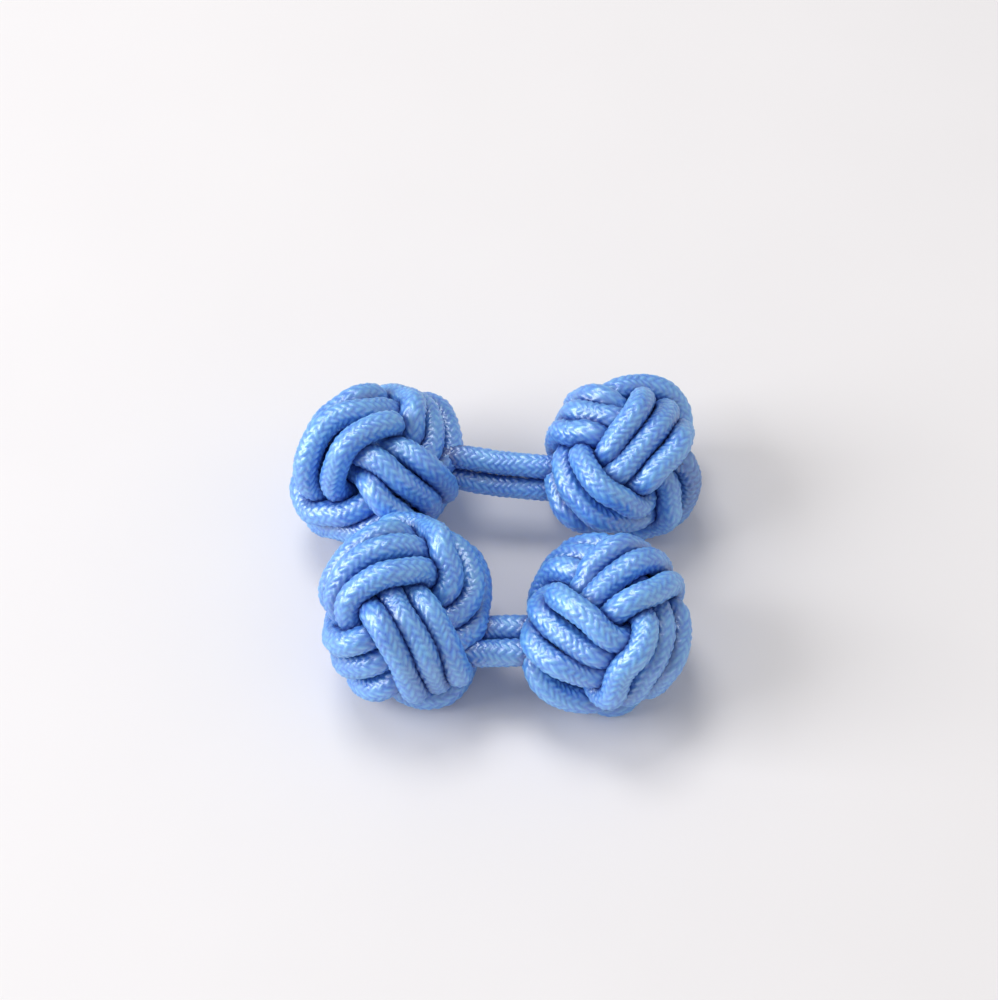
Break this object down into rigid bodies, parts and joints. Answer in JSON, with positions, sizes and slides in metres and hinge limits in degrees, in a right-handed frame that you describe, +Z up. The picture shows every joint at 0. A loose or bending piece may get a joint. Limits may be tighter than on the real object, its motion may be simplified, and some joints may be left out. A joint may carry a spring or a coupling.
{
  "type": "silk knot cufflinks",
  "caption": "Pair of soft cufflinks, each made of round woven cord knots joined by a short elastic cord link that passes through a shirt cuff's buttonholes.",
  "frame": {"origin": "on the table, under the middle of the pair's outline", "axes": "+X along the links from the left knots to the right knots, +Y from the front cufflink to the rear one, +Z up"},
  "size_m": [0.03, 0.027, 0.0125],
  "materials": {
    "blue_cord": "silky braided sheath",
    "filler": "matte wadding",
    "rubber": "matte"
  },
  "bodies": {
    "front_left_knot": {"front_left_first_winding": "blue_cord", "front_left_second_winding": "blue_cord", "front_left_third_winding": "blue_cord", "front_left_core": "filler"},
    "front_right_knot": {"front_right_first_winding": "blue_cord", "front_right_second_winding": "blue_cord", "front_right_third_winding": "blue_cord", "front_right_core": "filler"},
    "front_near_link": {"front_near_strand": "blue_cord", "front_near_rubber": "rubber"},
    "front_far_link": {"front_far_strand": "blue_cord", "front_far_rubber": "rubber"},
    "rear_left_knot": {"rear_left_first_winding": "blue_cord", "rear_left_second_winding": "blue_cord", "rear_left_third_winding": "blue_cord", "rear_left_core": "filler"},
    "rear_right_knot": {"rear_right_first_winding": "blue_cord", "rear_right_second_winding": "blue_cord", "rear_right_third_winding": "blue_cord", "rear_right_core": "filler"},
    "rear_lower_link": {"rear_lower_strand": "blue_cord", "rear_lower_rubber": "rubber"},
    "rear_upper_link": {"rear_upper_strand": "blue_cord", "rear_upper_rubber": "rubber"}
  },
  "joints": [
    {"name": "front_left_tip", "type": "hinge", "parent": "front_left_knot", "child": "front_near_link", "pos_m": [-0.00067, -0.00785, 0.00487], "axis": [-0.0698, -0.9976, 0], "range_deg": [0, 18], "deforming": ["front_near_strand", "front_near_rubber"]},
    {"name": "front_stretch", "type": "slide", "parent": "front_near_link", "child": "front_far_link", "axis": [0.9976, -0.0698, 0], "range_m": [0, 0.0015], "stiffness_N_per_m": 150},
    {"name": "front_right_tip", "type": "hinge", "parent": "front_far_link", "child": "front_right_knot", "pos_m": [0.0014, -0.008, 0.00487], "axis": [-0.0698, -0.9976, 0], "range_deg": [0, 18], "deforming": ["front_far_strand", "front_far_rubber"]},
    {"name": "rear_left_tip", "type": "hinge", "parent": "rear_left_knot", "child": "rear_lower_link", "pos_m": [-0.00269, 0.00614, 0.00525], "axis": [0.0297, -0.9996, 0], "range_deg": [0, 45], "deforming": ["rear_lower_strand", "rear_lower_rubber"]},
    {"name": "rear_stretch", "type": "slide", "parent": "rear_lower_link", "child": "rear_upper_link", "axis": [0.9996, 0.0297, 0], "range_m": [0, 0.003], "stiffness_N_per_m": 150},
    {"name": "rear_right_tip", "type": "hinge", "parent": "rear_upper_link", "child": "rear_right_knot", "pos_m": [0.0027, 0.0063, 0.00525], "axis": [0.0297, -0.9996, 0], "range_deg": [0, 45], "deforming": ["rear_upper_strand", "rear_upper_rubber"]},
    {"name": "pair_apart", "type": "slide", "parent": "front_left_knot", "child": "rear_left_knot", "axis": [0, 1, 0], "range_m": [0, 0.04]}
  ]
}
